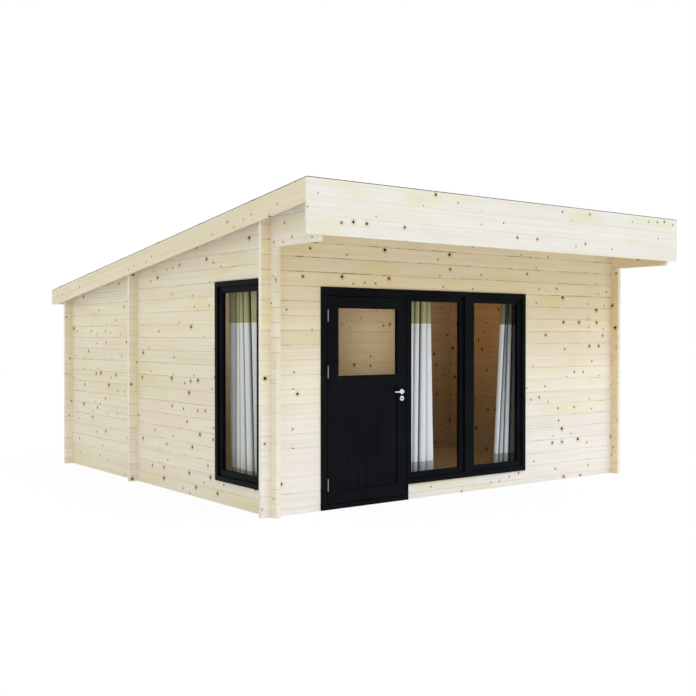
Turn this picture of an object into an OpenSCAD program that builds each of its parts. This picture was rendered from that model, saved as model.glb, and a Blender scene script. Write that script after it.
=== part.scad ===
// Garden shed of notched timber logs: one sloping roof with a deep front canopy, a door and a
// two-light window in one black frame, a tall side window, and a log partition behind the front room.
// Millimetres. The origin lies on the ground under the middle of the roof. +X runs to the right
// along the front wall, +Y runs to the back and +Z is up.

/* [Walls] */
// Width across the outer faces of the side walls
cabin_w = 4785; // [4500:5:5400]
// Depth across the outer faces of the front and back walls
cabin_d = 4725; // [4300:5:5400]
// Thickness of the wall logs
log_t = 44; // [40:1:70]
// Height that one log covers
log_h = 134; // [110:1:150]
// Length of the log ends past the wall that they cross
log_end = 96; // [60:1:120]
// Height planed off the lowest logs
base_cut = 10; // [0:1:20]
// Depth of the V joint between two logs
joint_v = 4; // [2:0.5:6]
// From the outer face of the front wall to the partition
partition_y = 2762; // [2400:1:3200]

/* [Roof] */
// Height of the roof at its front edge
roof_top = 2921; // [2750:1:3100]
// Fall of the roof to the back, in degrees
roof_slope = 7.05; // [5:0.05:9]
// Overhang of the canopy past the front wall
front_over = 762; // [500:1:1000]
// Overhang of the roof past the back wall
rear_over = 307; // [200:1:400]
// Overhang of the roof past each side wall
side_over = 134; // [125:1:250]
// Thickness of the roof boards
roof_board_t = 19; // [16:1:28]
// Thickness of the roofing felt with its edge strip
felt_t = 6; // [3:0.5:10]
// Height of the front fascia
fascia_h = 471; // [300:1:520]
// Thickness of the front fascia
fascia_t = 22; // [18:1:30]
// Boards in the front fascia
fascia_boards = 3; // [2:1:4]
// Upright depth of the barge boards
barge_h = 204; // [150:1:240]
// Thickness of the barge boards and the rear fascia
barge_t = 20; // [16:1:28]
// Height of the barge boards at their level-cut rear end
barge_end_h = 181; // [120:1:200]
// From the front edge of the roof down to the underside of the corbel logs
corbel_drop = 519; // [480:1:650]
// Width of the purlins
purlin_w = 60; // [45:1:80]
// Height of the purlins
purlin_h = 140; // [100:1:160]

/* [Floor] */
// Width of the floor joists
joist_w = 45; // [35:1:70]
// Height of the floor joists
joist_h = 45; // [35:1:60]
// Largest distance between two joists
joist_pitch = 500; // [400:10:650]
// Thickness of the floor boards
floor_board_t = 19; // [16:1:28]

/* [Front frame] */
// From the outer face of the left wall to the front frame
front_frame_x = 545; // [400:5:700]
// Width of the front frame
front_frame_w = 2723; // [2500:1:3200]
// From the front edge of the roof down to the top of the front frame
front_frame_drop = 854; // [780:1:900]
// Height of the front window frame above the ground
sill_z = 152; // [120:1:400]
// Face width of the window frame bars
frame_face = 47; // [35:1:70]
// Face width of the frame on the hinge side of the door
door_jamb_face = 67; // [60:1:100]
// Face width of the frame over the door
door_head_face = 77; // [60:1:100]
// Face width of the post between the door and the window
door_post_face = 22; // [20:1:60]
// Face width of the bar between the two window lights
mullion_face = 92; // [60:1:120]
// How far the frames stand proud of both faces of a wall
frame_proud = 13; // [6:1:25]
// Face width of the window sash bars
sash_face = 57; // [45:1:80]
// Depth of the window sash bars
sash_t = 40; // [36:1:46]
// From the front of a frame to its sashes
sash_inset = 22; // [10:1:24]
// From the front of a sash to its pane
pane_inset = 20; // [8:1:22]
// Thickness of the panes
glass_t = 8; // [4:1:12]
// Depth of the grooves that hold the panes and the door panel
groove_d = 12; // [8:1:18]

/* [Side window] */
// From the outer face of the front wall to the side window
side_frame_y = 145; // [130:1:300]
// Width of the side window frame
side_frame_w = 840; // [600:1:1000]
// How much higher the side window sits than the front window
side_frame_rise = 67; // [0:1:100]

/* [Door] */
// Width of the door leaf
door_w = 948; // [800:1:980]
// Thickness of the door leaf
door_t = 44; // [38:1:46]
// Clearance around the door leaf
door_gap = 7; // [6:0.5:10]
// Face width of the door stile on the hinge side
hinge_stile_w = 118; // [100:1:130]
// Face width of the door stile with the lock
lock_stile_w = 108; // [100:1:130]
// Height of the top rail of the door
top_rail_h = 104; // [90:1:140]
// Height of the glass in the door
door_glass_h = 644; // [400:1:800]
// From the face of the door to its glass
door_glass_inset = 9; // [6:1:20]
// Height of the lock rail under the glass
lock_rail_h = 110; // [90:1:150]
// Height of the bottom rail of the door
bottom_rail_h = 115; // [90:1:200]
// Boards in the door panel
panel_boards = 6; // [4:1:9]
// Thickness of the door panel
panel_t = 22; // [16:1:30]
// Height of the threshold
threshold_h = 45; // [35:1:60]

/* [Door hardware] */
// Length of a hinge
hinge_l = 118; // [90:1:140]
// Radius of the hinge barrels
barrel_r = 6; // [5.5:0.5:10]
// Radius of the hinge pins
hinge_pin_r = 3.5; // [3:0.25:4]
// Height of the lever above the ground
lever_z = 1070; // [1000:1:1150]
// From the free edge of the leaf to the middle of the lever
backset = 60; // [45:1:70]
// Length of the lever from its middle
lever_l = 119; // [100:1:140]
// Radius of the lever
lever_r = 7; // [6.5:0.5:11]
// From the face of the leaf to the middle of the lever
lever_reach = 48; // [40:1:60]
// Radius of the roses
rose_r = 24; // [22:0.5:30]
// Thickness of the roses
rose_t = 9; // [6:0.5:12]
// From the middle of the lever down to the key rose
key_drop = 66; // [62:1:92]

/* [Inner doorway] */
// From the outer face of the left wall to the clear inner doorway
inner_door_x = 2000; // [1500:5:2400]
// Clear width of the inner doorway
inner_door_w = 775; // [650:5:900]
// Thickness of the lining of the inner doorway
lining_t = 30; // [20:1:40]
// Face width of the casing around the inner doorway
casing_w = 125; // [80:1:140]
// Thickness of the casing around the inner doorway
casing_t = 16; // [10:1:25]

/* [Curtains] */
// Radius of the curtain rails
rail_r = 10; // [8:0.5:15]
// From a wall's inner face to the middle of a curtain rail
rail_reach = 106; // [95:1:150]
// From the top of a window frame up to the middle of a curtain rail
rail_rise = 80; // [60:1:110]
// Length of the front curtain rail past the window
rail_past = 90; // [60:5:150]
// Gathered width of the left front curtain
left_curtain_w = 455; // [250:5:600]
// Gathered width of the right front curtain
right_curtain_w = 335; // [250:5:600]
// Gathered width of the side curtain
side_curtain_w = 760; // [250:5:780]
// Height of the hems above the floor
hem_z = 30; // [15:5:60]
// Width of one fold of a curtain
fold_w = 86; // [60:1:120]
// Depth of the folds of a curtain to each side
fold_d = 38; // [15:1:40]
// Thickness of the folded cloth
cloth_t = 6; // [4:0.5:8]

/* [Hidden] */

// Colours
pine = "#e3d3ad";
pale_pine = "#eadfc3";
black_paint = "#1d1f22";
felt_grey = "#3b3c3d";
steel = "#c3c5c6";
clear_glass = [0.75, 0.82, 0.84, 0.35];
curtain_white = "#e9e8e4";

// Cuts run this far past the faces that they open
overrun = 5;
// Gap between the sloping faces of two roof layers
layer_gap = 0.2;
// A height this close to a seam is taken as the seam
seam_tol = 0.01;
// Gap between pieces that slide on each other or hang under a rail
seat_gap = 0.3;
// Gap between a turning shaft and its hole
running_gap = 0.05;
round_fn = 48;

// Plan
roof_w = cabin_w + 2 * side_over;
roof_d = front_over + cabin_d + rear_over;
roof_x0 = -roof_w / 2;
roof_x1 = roof_w / 2;
roof_y0 = -roof_d / 2;
roof_y1 = roof_d / 2;
x_left = -cabin_w / 2;
x_right = cabin_w / 2;
y_front = roof_y0 + front_over;
y_back = y_front + cabin_d;
y_partition = y_front + partition_y;
room_x0 = x_left + log_t;
room_x1 = x_right - log_t;
cross_ys = [y_front, y_partition, y_back - log_t];
cross_xs = [x_left, x_right - log_t];

// Courses: logs along X start with a half log, logs along Y with a whole one
first_x = log_h / 2 - base_cut;
first_y = log_h - base_cut;
courses = ceil(roof_top / log_h);
neck_share = 0.25;
neck_h = log_h * neck_share;

// Heights of the openings, counted down from the roof
front_frame_top = roof_top - front_frame_drop;
side_frame_top = front_frame_top + side_frame_rise;
corbel_z = roof_top - corbel_drop;

// Depths of the roof layers under its top, measured upright
felt_v = felt_t / cos(roof_slope);
deck_top_v = felt_v + layer_gap;
deck_v = deck_top_v + roof_board_t / cos(roof_slope);
wall_top_v = deck_v + layer_gap;
function roof_z(y) = roof_top - (y - roof_y0) * tan(roof_slope);
corbel_y = roof_y0 + fascia_t;
barge_end_z = roof_z(roof_y1) - barge_end_h;

// Seam where the top courses of the side walls begin, at least half a log under the low end of the roof
side_wall_low_z = roof_z(y_back + log_end) - wall_top_v;
top_course_z = min(side_frame_top, side_wall_low_z - log_h / 2);
side_split_z = first_y + floor((top_course_z - first_y + seam_tol) / log_h) * log_h;
fascia_groove = joint_v / 2;

// Purlins: one on the corbels, two over the front room and one over the rear room
front_room_d = y_partition - y_front;
rear_room_d = y_back - y_partition;
front_room_bays = 3;
rear_room_bays = 2;
canopy_purlin_gap = 40;
purlin_ys = concat(
  [corbel_y + canopy_purlin_gap + purlin_w / 2],
  [for (k = [1 : front_room_bays - 1]) y_front + front_room_d * k / front_room_bays],
  [for (k = [1 : rear_room_bays - 1]) y_partition + rear_room_d * k / rear_room_bays]
);

// Floor
floor_z = joist_h + floor_board_t;
joist_inset = 60;

// Front frame
frame_d = log_t + 2 * frame_proud;
frame_y = y_front - frame_proud;
frame_x0 = x_left + front_frame_x;
frame_x1 = frame_x0 + front_frame_w;
door_x0 = frame_x0 + door_jamb_face;
door_x1 = door_x0 + door_w + 2 * door_gap;
light_x0 = door_x1 + door_post_face;
light_x1 = frame_x1 - frame_face;
light_w = (light_x1 - light_x0 - mullion_face) / 2;
mullion_x = light_x0 + light_w;
light_z0 = sill_z + frame_face;
light_z1 = front_frame_top - frame_face;
light_h = light_z1 - light_z0;
door_z1 = front_frame_top - door_head_face;
glass_inset = sash_inset + pane_inset;

// Side window: its own X runs along the wall to the front, its own Y runs into the room
side_y0 = y_front + side_frame_y;
side_y1 = side_y0 + side_frame_w;
side_z0 = sill_z + side_frame_rise;
side_light_z0 = side_z0 + frame_face;
side_light_w = side_frame_w - 2 * frame_face;

// Door leaf and the stops behind it
leaf_inset = 2;
stop_gap = 6;
stop_lap = 14;
leaf_y = frame_y + leaf_inset;
leaf_x0 = door_x0 + door_gap;
leaf_x1 = leaf_x0 + door_w;
leaf_z0 = threshold_h + door_gap;
leaf_z1 = door_z1 - door_gap;
stop_y = leaf_y + door_t + stop_gap;
stop_reach = door_gap + stop_lap;
glass_z1 = leaf_z1 - top_rail_h;
glass_z0 = glass_z1 - door_glass_h;
panel_z1 = glass_z0 - lock_rail_h;
panel_z0 = leaf_z0 + bottom_rail_h;
panel_x0 = leaf_x0 + hinge_stile_w;
panel_x1 = leaf_x1 - lock_stile_w;
panel_inset = (door_t - panel_t) / 2;
panel_y = leaf_y + panel_inset;
panel_groove = 3;

// Hinges stand in front of the gap between the jamb and the leaf
barrel_clear = 1;
hinge_x = door_x0 + door_gap / 2;
hinge_y = frame_y - barrel_r - barrel_clear;
barrel_tip = 3;
hinge_pin_share = 0.4;
hinge_pin_l = hinge_l * hinge_pin_share;
hinge_end_z = 180;
hinge_shares = [0, 2 / 3, 1];
hinge_zs = [for (share = hinge_shares)
  leaf_z0 + hinge_end_z + share * (leaf_z1 - leaf_z0 - 2 * hinge_end_z)];

// Lever and roses
lever_x = leaf_x1 - backset;
spindle_r = 4.5;
spindle_bore_r = 11;
neck_r = lever_r;
lever_bend_r = 14;
keyhole_r = 10;

// Inner doorway
inner_x0 = x_left + inner_door_x;
inner_x1 = inner_x0 + inner_door_w;
inner_top = front_frame_top;
inner_lining_z = inner_top - lining_t;

// Curtain rails
front_rail_y = y_front + log_t + rail_reach;
front_rail_z = front_frame_top + rail_rise;
front_rail_x0 = light_x0 - rail_past;
front_rail_x1 = frame_x1 + rail_past;
side_rail_past = 40;
side_rail_x = room_x0 + rail_reach;
side_rail_z = side_frame_top + rail_rise;
side_rail_y0 = side_y0 - side_rail_past;
side_rail_y1 = side_y1 + side_rail_past;
bracket_r = 7;
bracket_inset = 45;
curtain_z0 = floor_z + hem_z;
fold_steps = 12;

// Plain block between two corners on each axis
module block(xs, ys, zs) {
  translate([xs[0], ys[0], zs[0]])
    cube([xs[1] - xs[0], ys[1] - ys[0], zs[1] - zs[0]]);
}

// Outlines drawn in Y and Z, X and Z, or X and Y, and run along the third axis
module along_x(x0, x1) {
  translate([x0, 0, 0]) rotate([90, 0, 90]) linear_extrude(x1 - x0) children();
}
module along_y(y0, y1) {
  translate([0, y1, 0]) rotate([90, 0, 0]) linear_extrude(y1 - y0) children();
}
module along_z(z0, z1) {
  translate([0, 0, z0]) linear_extrude(z1 - z0) children();
}

// Outline that cuts a V of a given depth into a face
module v_cut(depth) {
  polygon([[-depth, 0], [0, -depth], [depth, 0], [0, depth]]);
}

// Everything that lies at least a given upright depth under the top of the roof
module below_roof(depth) {
  y0 = roof_y0 - overrun;
  y1 = roof_y1 + overrun;
  along_x(roof_x0 - overrun, roof_x1 + overrun)
    polygon([[y0, -overrun], [y1, -overrun], [y1, roof_z(y1) - depth], [y0, roof_z(y0) - depth]]);
}

// Section of a stack of logs: flat faces with a V joint at every seam
function seams(first) = [for (k = [0 : courses]) first + k * log_h];
function on_seam(z, first) = min([for (seam = seams(first)) abs(seam - z)]) < seam_tol;
function face_points(first, z0, z1) = concat(
  on_seam(z0, first) ? [[joint_v, z0], [0, z0 + joint_v]] : [[0, z0]],
  [for (z = seams(first)) if (z > z0 + joint_v && z < z1 - joint_v)
    each [[0, z - joint_v], [joint_v, z], [0, z + joint_v]]],
  on_seam(z1, first) ? [[0, z1 - joint_v], [joint_v, z1]] : [[0, z1]]
);
module log_section(first, z0, z1) {
  face = face_points(first, z0, z1);
  polygon(concat(face, [for (k = [len(face) - 1 : -1 : 0]) [log_t - face[k][0], face[k][1]]]));
}

// Log wall along X with its front face at y, notched for the walls that it crosses
module wall_x(y, x0, x1, z0, z1) {
  difference() {
    along_x(x0, x1) translate([y, 0]) log_section(first_x, z0, z1);
    for (x = cross_xs)
      if (x + log_t > x0 && x < x1)
        for (middle = [for (z = seams(first_y)) z - log_h / 2])
          if (middle + neck_h > z0 && middle - neck_h < z1)
            block([x, x + log_t], [y - overrun, y + log_t + overrun],
              [middle - neck_h, middle + neck_h]);
  }
}

// Log wall along Y with its left face at x, notched for the walls that it crosses
module wall_y(x, y0, y1, z0, z1) {
  difference() {
    along_y(y0, y1) translate([x, 0]) log_section(first_y, z0, z1);
    for (y = cross_ys)
      if (y + log_t > y0 && y < y1)
        for (middle = [for (z = seams(first_x)) z - log_h / 2])
          if (middle + neck_h > z0 && middle - neck_h < z1)
            block([x - overrun, x + log_t + overrun], [y, y + log_t],
              [middle - neck_h, middle + neck_h]);
  }
}

// Top courses of a side wall: they carry the purlins and run on to the front as a corbel
module side_wall_upper(x) {
  difference() {
    intersection() {
      wall_y(x, corbel_y, y_back + log_end, side_split_z, roof_top);
      below_roof(wall_top_v);
    }
    block([x - overrun, x + log_t + overrun], [corbel_y - overrun, y_front - log_end],
      [side_split_z - overrun, corbel_z]);
    purlins();
  }
}

module front_wall_left() {
  color(pine) wall_x(y_front, x_left - log_end, frame_x0, 0, front_frame_top);
}
module front_wall_right() {
  color(pine) wall_x(y_front, frame_x1, x_right + log_end, 0, front_frame_top);
}
module front_wall_sill() {
  color(pine) wall_x(y_front, light_x0, frame_x1, 0, sill_z);
}
module front_wall_upper() {
  color(pine) intersection() {
    wall_x(y_front, x_left - log_end, x_right + log_end, front_frame_top, roof_top);
    below_roof(wall_top_v);
  }
}
module left_wall_front() {
  color(pine) wall_y(x_left, y_front - log_end, side_y0, 0, side_frame_top);
}
module left_wall_rear() {
  color(pine) intersection() {
    wall_y(x_left, side_y1, y_back + log_end, 0, side_split_z);
    below_roof(wall_top_v);
  }
}
module left_wall_sill() {
  color(pine) wall_y(x_left, side_y0, side_y1, 0, side_z0);
}
module left_wall_upper() {
  color(pine) difference() {
    side_wall_upper(x_left);
    block([x_left - overrun, room_x0 + overrun], [y_front - log_end - overrun, side_y1],
      [side_split_z - overrun, side_frame_top]);
  }
}
module right_wall_lower() {
  color(pine) intersection() {
    wall_y(x_right - log_t, y_front - log_end, y_back + log_end, 0, side_split_z);
    below_roof(wall_top_v);
  }
}
module right_wall_upper() {
  color(pine) side_wall_upper(x_right - log_t);
}
module back_wall() {
  color(pine) intersection() {
    wall_x(y_back - log_t, x_left - log_end, x_right + log_end, 0, roof_top);
    below_roof(wall_top_v);
  }
}
module partition_left() {
  color(pine) wall_x(y_partition, x_left - log_end, inner_x0 - lining_t, 0, inner_top);
}
module partition_right() {
  color(pine) wall_x(y_partition, inner_x1 + lining_t, x_right + log_end, 0, inner_top);
}
module partition_upper() {
  color(pine) intersection() {
    wall_x(y_partition, x_left - log_end, x_right + log_end, inner_top, roof_top);
    below_roof(wall_top_v);
  }
}

// Lining and casings of the inner doorway clasp the ends of the partition logs
module inner_doorway_jambs() {
  color(pale_pine)
    for (side = [0, 1])
      translate([inner_x0 + side * inner_door_w, 0, 0]) mirror([1 - side, 0, 0])
        along_z(floor_z, inner_lining_z)
          polygon([
            [0, y_partition - casing_t], [casing_w, y_partition - casing_t], [casing_w, y_partition],
            [lining_t, y_partition], [lining_t, y_partition + log_t], [casing_w, y_partition + log_t],
            [casing_w, y_partition + log_t + casing_t], [0, y_partition + log_t + casing_t]
          ]);
}
module inner_doorway_head() {
  casing_xs = [inner_x0 - casing_w, inner_x1 + casing_w];
  color(pale_pine) union() {
    for (y = [y_partition - casing_t, y_partition + log_t])
      block(casing_xs, [y, y + casing_t], [inner_lining_z, inner_lining_z + casing_w]);
    block([inner_x0 - lining_t, inner_x1 + lining_t], [y_partition, y_partition + log_t],
      [inner_lining_z, inner_top]);
  }
}

// Layer of the roof between two upright depths under its top
module roof_layer(xs, ys, depth0, depth1) {
  along_x(xs[0], xs[1])
    polygon([
      [ys[0], roof_z(ys[0]) - depth1], [ys[1], roof_z(ys[1]) - depth1],
      [ys[1], roof_z(ys[1]) - depth0], [ys[0], roof_z(ys[0]) - depth0]
    ]);
}
module roof_boards() {
  color(pale_pine)
    roof_layer([roof_x0 + barge_t, roof_x1 - barge_t], [roof_y0 + fascia_t, roof_y1 - barge_t],
      deck_top_v, deck_v);
}
module roof_felt() {
  color(felt_grey) roof_layer([roof_x0, roof_x1], [roof_y0, roof_y1], 0, felt_v);
}
module purlins() {
  for (y = purlin_ys) {
    y0 = y - purlin_w / 2;
    y1 = y + purlin_w / 2;
    bottom = roof_z(y) - wall_top_v - purlin_h;
    along_x(roof_x0 + barge_t, roof_x1 - barge_t)
      polygon([[y0, bottom], [y1, bottom], [y1, roof_z(y1) - wall_top_v], [y0, roof_z(y0) - wall_top_v]]);
  }
}
module roof_purlins() {
  color(pine) purlins();
}

// Front fascia of level boards with a fine V joint between them
module front_fascia() {
  board_h = fascia_h / fascia_boards;
  z0 = roof_top - fascia_h;
  y1 = roof_y0 + fascia_t;
  color(pale_pine) along_x(roof_x0, roof_x1)
    polygon(concat(
      [[y1, z0], [roof_y0, z0]],
      [for (k = [1 : fascia_boards - 1]) each [
        [roof_y0, z0 + k * board_h - fascia_groove],
        [roof_y0 + fascia_groove, z0 + k * board_h],
        [roof_y0, z0 + k * board_h + fascia_groove]
      ]],
      [[roof_y0, roof_z(roof_y0) - deck_top_v], [y1, roof_z(y1) - deck_top_v]]
    ));
}
module rear_fascia() {
  y0 = roof_y1 - barge_t;
  color(pale_pine) along_x(roof_x0 + barge_t, roof_x1 - barge_t)
    polygon([
      [y0, barge_end_z], [roof_y1, barge_end_z],
      [roof_y1, roof_z(roof_y1) - deck_top_v], [y0, roof_z(y0) - deck_top_v]
    ]);
}
module barge_boards() {
  y0 = roof_y0 + fascia_t;
  cut_y = roof_y0 + (roof_top - barge_h - barge_end_z) / tan(roof_slope);
  color(pale_pine)
    for (x = [roof_x0, roof_x1 - barge_t])
      along_x(x, x + barge_t)
        polygon([
          [y0, roof_z(y0) - barge_h], [cut_y, barge_end_z], [roof_y1, barge_end_z],
          [roof_y1, roof_z(roof_y1) - deck_top_v], [y0, roof_z(y0) - deck_top_v]
        ]);
}

// Joists are spread evenly over each room
module room_joists(y0, y1) {
  span = y1 - y0 - 2 * joist_inset - joist_w;
  bays = ceil(span / joist_pitch);
  for (k = [0 : bays])
    translate([0, y0 + joist_inset + k * span / bays, 0])
      block([room_x0, room_x1], [0, joist_w], [0, joist_h]);
}
module floor_joists() {
  color(pine) {
    room_joists(y_front + log_t, y_partition);
    room_joists(y_partition + log_t, y_back - log_t);
  }
}
module floor_boards() {
  zs = [joist_h, floor_z];
  color(pale_pine) difference() {
    union() {
      block([room_x0, room_x1], [y_front + log_t, y_partition], zs);
      block([inner_x0 - lining_t, inner_x1 + lining_t], [y_partition, y_partition + log_t], zs);
      block([room_x0, room_x1], [y_partition + log_t, y_back - log_t], zs);
    }
    block([frame_x0, light_x0], [y_front, frame_y + frame_d], [joist_h - overrun, floor_z + overrun]);
  }
}

// Upright of the door frame with its stop, drawn for the hinge side
module door_upright(x0, x1, stop_side, z1) {
  stop_x = stop_side > 0 ? [x1, x1 + stop_reach] : [x0 - stop_reach, x0];
  color(black_paint) union() {
    block([x0, x1], [frame_y, frame_y + frame_d], [0, z1]);
    block(stop_x, [stop_y, frame_y + frame_d], [threshold_h, door_z1]);
  }
}
module front_frame_uprights() {
  door_upright(frame_x0, door_x0, 1, front_frame_top);
  door_upright(door_x1, light_x0, -1, light_z1);
  color(black_paint) {
    block([mullion_x, mullion_x + mullion_face], [frame_y, frame_y + frame_d], [light_z0, light_z1]);
    block([light_x1, frame_x1], [frame_y, frame_y + frame_d], [sill_z, front_frame_top]);
  }
}
module front_frame_head() {
  ys = [frame_y, frame_y + frame_d];
  color(black_paint) union() {
    block([door_x0, light_x1], ys, [light_z1, front_frame_top]);
    block([door_x0, door_x1], ys, [door_z1, light_z1]);
    block([door_x0 + stop_reach, door_x1 - stop_reach], [stop_y, ys[1]], [door_z1 - stop_reach, door_z1]);
  }
}
module front_frame_sill() {
  color(black_paint) block([light_x0, light_x1], [frame_y, frame_y + frame_d], [sill_z, light_z0]);
}
module door_threshold() {
  color(black_paint) block([door_x0, door_x1], [frame_y, frame_y + frame_d], [0, threshold_h]);
}
module side_frame_uprights() {
  color(black_paint)
    for (y = [side_y0, side_y1 - frame_face])
      block([x_left - frame_proud, room_x0 + frame_proud], [y, y + frame_face], [side_z0, side_frame_top]);
}
module side_frame_head_and_sill() {
  color(black_paint)
    for (z = [side_z0, side_frame_top - frame_face])
      block([x_left - frame_proud, room_x0 + frame_proud], [side_y0 + frame_face, side_y1 - frame_face],
        [z, z + frame_face]);
}

// Sashes are drawn in a light's own frame: X across the light, Y into the room, Z up
module in_front_light(k) {
  translate([light_x0 + k * (light_w + mullion_face), frame_y, light_z0]) children();
}
module in_side_light() {
  translate([x_left - frame_proud, side_y1 - frame_face, side_light_z0]) rotate([0, 0, -90]) children();
}
module stile_pair(w, h) {
  difference() {
    for (x = [0, w - sash_face])
      block([x, x + sash_face], [sash_inset, sash_inset + sash_t], [0, h]);
    pane(w, h);
  }
}
module rail_pair(w, h) {
  difference() {
    for (z = [0, h - sash_face])
      block([sash_face, w - sash_face], [sash_inset, sash_inset + sash_t], [z, z + sash_face]);
    pane(w, h);
  }
}
module pane(w, h) {
  edge = sash_face - groove_d;
  block([edge, w - edge], [glass_inset, glass_inset + glass_t], [edge, h - edge]);
}
module sash_stiles() {
  color(black_paint) {
    for (k = [0, 1]) in_front_light(k) stile_pair(light_w, light_h);
    in_side_light() stile_pair(side_light_w, light_h);
  }
}
module sash_rails() {
  color(black_paint) {
    for (k = [0, 1]) in_front_light(k) rail_pair(light_w, light_h);
    in_side_light() rail_pair(side_light_w, light_h);
  }
}
module window_glass() {
  color(clear_glass) {
    for (k = [0, 1]) in_front_light(k) pane(light_w, light_h);
    in_side_light() pane(side_light_w, light_h);
  }
}

// Door leaf: the glass and the boarded panel sit in grooves of the stiles and rails
module door_infill(inset, t, z0, z1) {
  y0 = leaf_y + inset;
  block([panel_x0 - groove_d, panel_x1 + groove_d], [y0, y0 + t], [z0 - groove_d, z1 + groove_d]);
}
module door_grooves() {
  door_infill(door_glass_inset, glass_t, glass_z0, glass_z1);
  door_infill(panel_inset, panel_t, panel_z0, panel_z1);
}
module door_stiles() {
  color(black_paint) difference() {
    for (xs = [[leaf_x0, panel_x0], [panel_x1, leaf_x1]])
      block(xs, [leaf_y, leaf_y + door_t], [leaf_z0, leaf_z1]);
    door_grooves();
    translate([lever_x, leaf_y - overrun, lever_z]) rotate([-90, 0, 0])
      cylinder(r = spindle_bore_r, h = door_t + 2 * overrun, $fn = round_fn);
  }
}
module door_rails() {
  color(black_paint) difference() {
    for (zs = [[leaf_z0, panel_z0], [panel_z1, glass_z0], [glass_z1, leaf_z1]])
      block([panel_x0, panel_x1], [leaf_y, leaf_y + door_t], zs);
    door_grooves();
  }
}
module door_panel() {
  board_w = (panel_x1 - panel_x0) / panel_boards;
  color(black_paint) difference() {
    door_infill(panel_inset, panel_t, panel_z0, panel_z1);
    for (k = [1 : panel_boards - 1], y = [panel_y, panel_y + panel_t])
      along_z(panel_z0 - groove_d - overrun, panel_z1 + groove_d + overrun)
        translate([panel_x0 + k * board_w, y]) v_cut(panel_groove);
  }
}
module door_glass() {
  color(clear_glass) door_infill(door_glass_inset, glass_t, glass_z0, glass_z1);
}

// Barrel hinges: the lower half with its pin sits on the jamb, the upper half turns on it, and the
// lugs that join them to the jamb and the leaf end in line with the barrels
module half_barrel(seat) {
  straight = hinge_l / 2 - barrel_tip;
  translate([0, 0, seat]) cylinder(r = barrel_r, h = straight - seat, $fn = round_fn);
  translate([0, 0, straight])
    cylinder(r1 = barrel_r, r2 = barrel_r - barrel_tip, h = barrel_tip, $fn = round_fn);
}
module hinge_frame_halves() {
  lug_l = hinge_l / 2 - barrel_tip;
  color(steel)
    for (z = hinge_zs)
      translate([hinge_x, hinge_y, z]) union() {
        mirror([0, 0, 1]) half_barrel(0);
        cylinder(r = hinge_pin_r, h = hinge_pin_l, $fn = round_fn);
        block([-barrel_r, 0], [0, frame_y - hinge_y], [-lug_l, 0]);
      }
}
module hinge_leaf_halves() {
  lug_l = hinge_l / 2 - barrel_tip;
  color(steel)
    for (z = hinge_zs)
      translate([hinge_x, hinge_y, z]) difference() {
        union() {
          half_barrel(seat_gap);
          block([0, barrel_r], [0, leaf_y - hinge_y], [seat_gap, lug_l]);
        }
        translate([0, 0, -overrun])
          cylinder(r = hinge_pin_r + running_gap, h = hinge_pin_l + seat_gap + overrun, $fn = round_fn);
      }
}

// Roses on both faces of the leaf, for the lever and for the key
module rose(hole_r) {
  difference() {
    cylinder(r = rose_r, h = rose_t, $fn = round_fn);
    translate([0, 0, -overrun]) cylinder(r = hole_r, h = rose_t + 2 * overrun, $fn = round_fn);
  }
}
module on_both_faces(z) {
  translate([lever_x, leaf_y, z]) rotate([90, 0, 0]) children();
  translate([lever_x, leaf_y + door_t, z]) rotate([-90, 0, 0]) children();
}
module door_roses() {
  color(steel) {
    on_both_faces(lever_z) rose(neck_r + running_gap);
    on_both_faces(lever_z - key_drop) rose(keyhole_r);
  }
}

// Lever handle: neck out of the rose, round bend and grip with a round tip to the hinge side
module lever_arm() {
  straight = lever_reach - lever_bend_r;
  cylinder(r = neck_r, h = straight, $fn = round_fn);
  translate([-lever_bend_r, 0, straight]) rotate([90, 0, 0])
    rotate_extrude(angle = 90, $fn = round_fn)
      translate([lever_bend_r, 0]) circle(r = lever_r, $fn = round_fn);
  translate([-lever_bend_r, 0, lever_reach]) rotate([0, -90, 0]) {
    grip_l = lever_l - lever_bend_r - lever_r;
    cylinder(r = lever_r, h = grip_l, $fn = round_fn);
    translate([0, 0, grip_l]) sphere(r = lever_r, $fn = round_fn);
  }
}
module door_lever() {
  color(steel) union() {
    translate([lever_x, leaf_y, lever_z]) rotate([90, 0, 0]) lever_arm();
    translate([lever_x, leaf_y + door_t, lever_z]) mirror([0, 1, 0]) rotate([90, 0, 0]) lever_arm();
    translate([lever_x, leaf_y, lever_z]) rotate([-90, 0, 0])
      cylinder(r = spindle_r, h = door_t, $fn = round_fn);
  }
}

// Curtain rails on brackets from the wall over each window
module curtain_rails() {
  color(steel) {
    union() {
      translate([front_rail_x0, front_rail_y, front_rail_z]) rotate([0, 90, 0])
        cylinder(r = rail_r, h = front_rail_x1 - front_rail_x0, $fn = round_fn);
      for (x = [front_rail_x0 + bracket_inset, front_rail_x1 - bracket_inset])
        translate([x, y_front + log_t, front_rail_z]) rotate([-90, 0, 0])
          cylinder(r = bracket_r, h = rail_reach, $fn = round_fn);
    }
    union() {
      translate([side_rail_x, side_rail_y0, side_rail_z]) rotate([-90, 0, 0])
        cylinder(r = rail_r, h = side_rail_y1 - side_rail_y0, $fn = round_fn);
      for (y = [side_rail_y0 + bracket_inset, side_rail_y1 - bracket_inset])
        translate([room_x0, y, side_rail_z]) rotate([0, 90, 0])
          cylinder(r = bracket_r, h = rail_reach, $fn = round_fn);
    }
  }
}

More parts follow.
